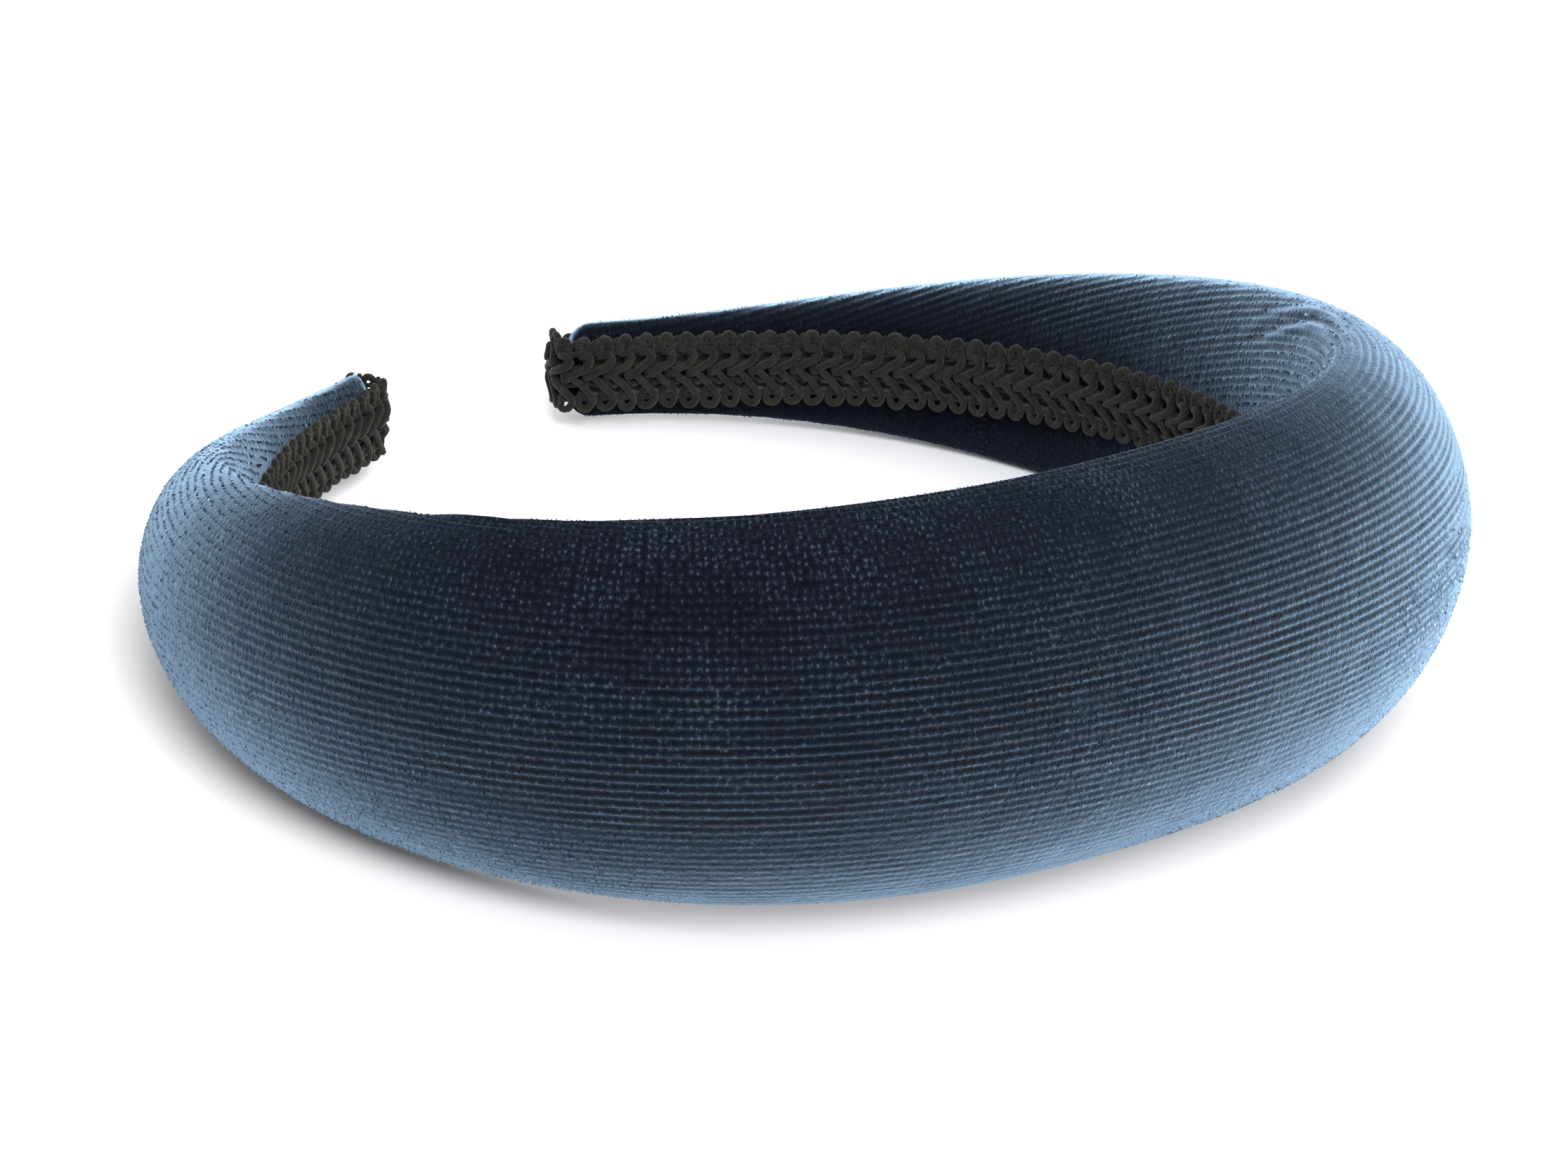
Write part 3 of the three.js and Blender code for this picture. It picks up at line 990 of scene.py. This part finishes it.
# ---- hidden pieces ----------------------------------------------------------------------
CORE_SHORT = 1 * MM  # how far the core stops inside each end of the cover
FOAM_SHORT = 3 * MM  # how far the drawn foam stops short of the solid one
FOAM_QUARTER = 60  # points round each quarter of the foam's section, before some are picked
FOAM_GLUE_END = 0.84  # share of the half length, as FOAM_END is
BRAID_GLUE_HALF = 3.6 * MM
HEM_GLUE_INSET = (0.6 * MM, 0.4 * MM)  # from the slit's edge and from the flat's edge


def core_half(length):
    """Half of the core's width."""
    return mix(CORE_HALF, np.clip(np.abs(length) / HALF_LENGTH, 0, 1) ** 2)


def core_thick(length):
    """The core's thickness."""
    return mix(CORE_THICK, np.abs(length) / HALF_LENGTH)


def band_loft(name, lengths, outline, material):
    """A closed piece swept from tip to tip; outline gives across and level at a length."""
    rings = []
    for length in lengths:
        across, level = outline(length)
        rings.append(placed(np.full(len(across), length), level, across))
    points = np.concatenate(rings)
    piece = make_object(name, points, loft_faces(len(rings), len(rings[0])))
    face_outwards(piece)
    piece.data.materials.append(material)
    return piece


def rounded_outline(half, low, high, corner, per_corner=4):
    """A rectangle with round corners, as distances across and levels."""
    across, level = [], []
    for turn, (x, y) in enumerate(
        [(half, high), (-half, high), (-half, low), (half, low)]
    ):
        angle = np.pi / 2 * (turn + np.linspace(0, 1, per_corner))
        across.append(x - math.copysign(corner, x) + corner * np.cos(angle))
        inwards = -corner if turn < 2 else corner
        level.append(y + inwards + corner * np.sin(angle))
    return np.concatenate(across), np.concatenate(level)


def core_band():
    """The springy plastic band, a little narrower at its very ends."""
    end = HALF_LENGTH - CORE_SHORT
    body = np.linspace(-end + 2 * MM, end - 2 * MM, 130)
    lengths = np.concatenate([[-end, -end + 0.5 * MM], body, [end - 0.5 * MM, end]])

    def outline(length):
        near_end = max(0.0, 1 - (end - abs(length)) / (2 * MM))
        half = core_half(length) - 1.2 * MM * near_end**2
        return rounded_outline(half, CORE_LOW, CORE_LOW + core_thick(length), 0.4 * MM)

    return band_loft("core_band", lengths, outline, plastic_material())


def film(name, lengths, half, low, material, seed, centre=None):
    """A thin glue film with wavy edges."""
    count = len(lengths)
    near = wander(count, 3, seed) * 0.25 * MM
    far = wander(count, 3, seed + 1) * 0.25 * MM
    order = {float(length): i for i, length in enumerate(lengths)}

    def outline(length):
        i = order[float(length)]
        wide = half(length)
        middle = 0.0 if centre is None else centre(length)
        left, right = middle - wide - near[i] * 0.6, middle + wide + far[i] * 0.6
        base = low(length)
        across = np.linspace(left, right, 5)
        return (
            np.concatenate([across, across[::-1]]),
            np.concatenate([np.full(5, base), np.full(5, base + FILM)]),
        )

    return band_loft(name, lengths, outline, material)


def foam_pad():
    """The domed foam, pitted, with a seat in it for the core and its glue."""
    end = HALF_LENGTH * FOAM_END - FOAM_SHORT
    lengths = np.linspace(-end, end, 121)
    inset = CLOTH + LAYER_GAP + 0.25 * MM
    all_across, all_levels = section_outline(lengths, inset, FOAM_QUARTER)
    outer = np.linspace(0, FOAM_QUARTER - 1, 20).astype(int)
    inner = np.arange(FOAM_QUARTER, 2 * FOAM_QUARTER - 1)
    picked = np.concatenate([outer, inner[::6]])
    order = {float(length): i for i, length in enumerate(lengths)}
    own = np.random.default_rng(5)
    pits = own.normal(size=(len(lengths), 100)) * 0.05 * MM

    def outline(length):
        i = order[float(length)]
        side = core_half(length) + 0.35 * MM
        seat = CORE_LOW + core_thick(length) + 2 * LAYER_GAP + FILM
        # points nearer the middle than the foam's lower edge are gathered on that edge
        edge = side + 0.3 * MM
        edge_level = np.interp(-edge, -all_across[i][inner], all_levels[i][inner])
        across, level = all_across[i][picked], all_levels[i][picked]
        keep = across > edge
        keep[: len(outer)] = True
        across = np.where(keep, across, edge)
        level = np.where(keep, level, edge_level) - np.abs(pits[i, : len(keep)] * keep)
        foot = min(edge_level + 0.1 * MM, seat - 0.1 * MM)
        half_across = np.concatenate([across[1:], [side], [side]])
        half_level = np.concatenate([level[1:], [foot], [seat]])
        return (
            np.concatenate([[0], half_across, -half_across[::-1]]),
            np.concatenate([[level[0]], half_level, half_level[::-1]]),
        )

    pad = band_loft("foam_pad", lengths, outline, foam_material())
    weld(pad)
    return pad


def hem_half(length):
    """Half of the width of the glue under a turned hem."""
    flat = mix(FLAT_HALF, (abs(length) / HALF_LENGTH) ** 2)
    return (flat - HEM_GLUE_INSET[1] - SLIT_HALF - HEM_GLUE_INSET[0]) / 2


def hem_centre(length):
    """Distance from the middle of the inner face to the middle of a hem's glue."""
    return SLIT_HALF + HEM_GLUE_INSET[0] + hem_half(length)


def foam_glue_half(length):
    """Half of the width of the glue between the core and the foam."""
    return core_half(length) - 0.6 * MM


def foam_glue_low(length):
    """Level of the underside of the glue between the core and the foam."""
    return CORE_LOW + core_thick(length) + LAYER_GAP


def hem_glue_low(length):
    """Level of the underside of the glue under a hem, the same all along."""
    return CLOTH + LAYER_GAP


def braid_glue_low(length):
    """Level of the underside of the braid's glue, the same all along."""
    return -LAYER_GAP - FILM


core = core_band()
flexes(core, "core_band")
foam = foam_pad()
flexes(foam, "foam_pad")
glue = glue_material()
long_film = np.linspace(-HALF_LENGTH + 2 * MM, HALF_LENGTH - 2 * MM, 120)
foam_film = np.linspace(-HALF_LENGTH * FOAM_GLUE_END, HALF_LENGTH * FOAM_GLUE_END, 110)
for name, lengths, half, low, seed, centre in (
    ("foam_glue", foam_film, foam_glue_half, foam_glue_low, 90, None),
    ("upper_hem_glue", long_film, hem_half, hem_glue_low, 92, hem_centre),
    ("lower_hem_glue", long_film, hem_half, hem_glue_low, 94, lambda length: -hem_centre(length)),
    ("braid_glue", long_film, lambda length: BRAID_GLUE_HALF, braid_glue_low, 96, None),
):
    flexes(film(name, lengths, half, low, glue, seed, centre), name)


# ---- studio -----------------------------------------------------------------------------
LIGHT_AIM = (0, 0, 0.02)


def floor():
    """A pale sweep, flat under the headband."""
    size = 3.0
    points = [(-size, -size, 0), (size, -size, 0), (size, size, 0), (-size, size, 0)]
    ground = make_object("floor", points, [(0, 1, 2, 3)], smooth=False)
    material, shader, *_ = new_material("pale_floor")
    shader.inputs["Base Color"].default_value = (0.86, 0.86, 0.87, 1)
    shader.inputs["Roughness"].default_value = 0.7
    ground.data.materials.append(material)


def soft_light(name, place, size, power):
    """A round soft light that faces the headband."""
    data = bpy.data.lights.new(name, "AREA")
    data.shape = "DISK"
    data.size = size
    data.energy = power
    lamp = bpy.data.objects.new(name, data)
    bpy.context.scene.collection.objects.link(lamp)
    lamp.location = place
    direction = Vector(LIGHT_AIM) - Vector(place)
    lamp.rotation_euler = direction.to_track_quat("-Z", "Y").to_euler()


def studio():
    """The floor, three soft lights, a white surround and the plain view of colours."""
    floor()
    soft_light("key", (-0.5, -0.9, 1.1), 0.9, 22)
    soft_light("fill", (1.0, -0.4, 0.8), 1.0, 6)
    soft_light("back", (0.2, 1.1, 0.9), 1.2, 3)
    world = bpy.data.worlds.new("studio")
    world.use_nodes = True
    background = world.node_tree.nodes["Background"]
    background.inputs["Color"].default_value = (1.0, 1.0, 1.0, 1)
    background.inputs["Strength"].default_value = 1.05
    bpy.context.scene.world = world
    bpy.context.scene.view_settings.view_transform = "Standard"


# Camera, in the band's own frame: azimuth from the crown's front, elevation above the
# band's plane, roll, distance, and the point that it looks at.
CAMERA_AZIMUTH = math.radians(-39.49)
CAMERA_ELEVATION = math.radians(19.26)
CAMERA_ROLL = math.radians(0.97)
CAMERA_DISTANCE = 959.2 * MM
CAMERA_AIM = np.array([0, 56.4, 0]) * MM
CAMERA_OFFSET = (3.15 * MM, -8.06 * MM)
CAMERA_LENS = 182.3
CAMERA_SENSOR = 36.0


def camera():
    """The camera at the photograph's viewing angle."""
    azimuth, elevation = CAMERA_AZIMUTH, CAMERA_ELEVATION
    back = np.array(
        [
            math.sin(azimuth) * math.cos(elevation),
            -math.cos(azimuth) * math.cos(elevation),
            math.sin(elevation),
        ]
    )
    level = np.array([math.cos(azimuth), math.sin(azimuth), 0])
    upright = np.cross(back, level)
    right = math.cos(CAMERA_ROLL) * level + math.sin(CAMERA_ROLL) * upright
    up = np.cross(back, right)
    aim = CAMERA_AIM + CAMERA_OFFSET[0] * right + CAMERA_OFFSET[1] * up
    place = to_row(aim + back * CAMERA_DISTANCE)
    turn = np.stack([to_row(v) - band_origin for v in (right, up, back)], 1)
    data = bpy.data.cameras.new("camera")
    data.lens = CAMERA_LENS
    data.sensor_width = CAMERA_SENSOR
    data.clip_start = 0.05
    data.clip_end = 20
    eye = bpy.data.objects.new("camera", data)
    bpy.context.scene.collection.objects.link(eye)
    eye.matrix_world = Matrix(
        [[*turn[i], place[i]] for i in range(3)] + [[0, 0, 0, 1]]
    )
    bpy.context.scene.camera = eye


studio()
camera()
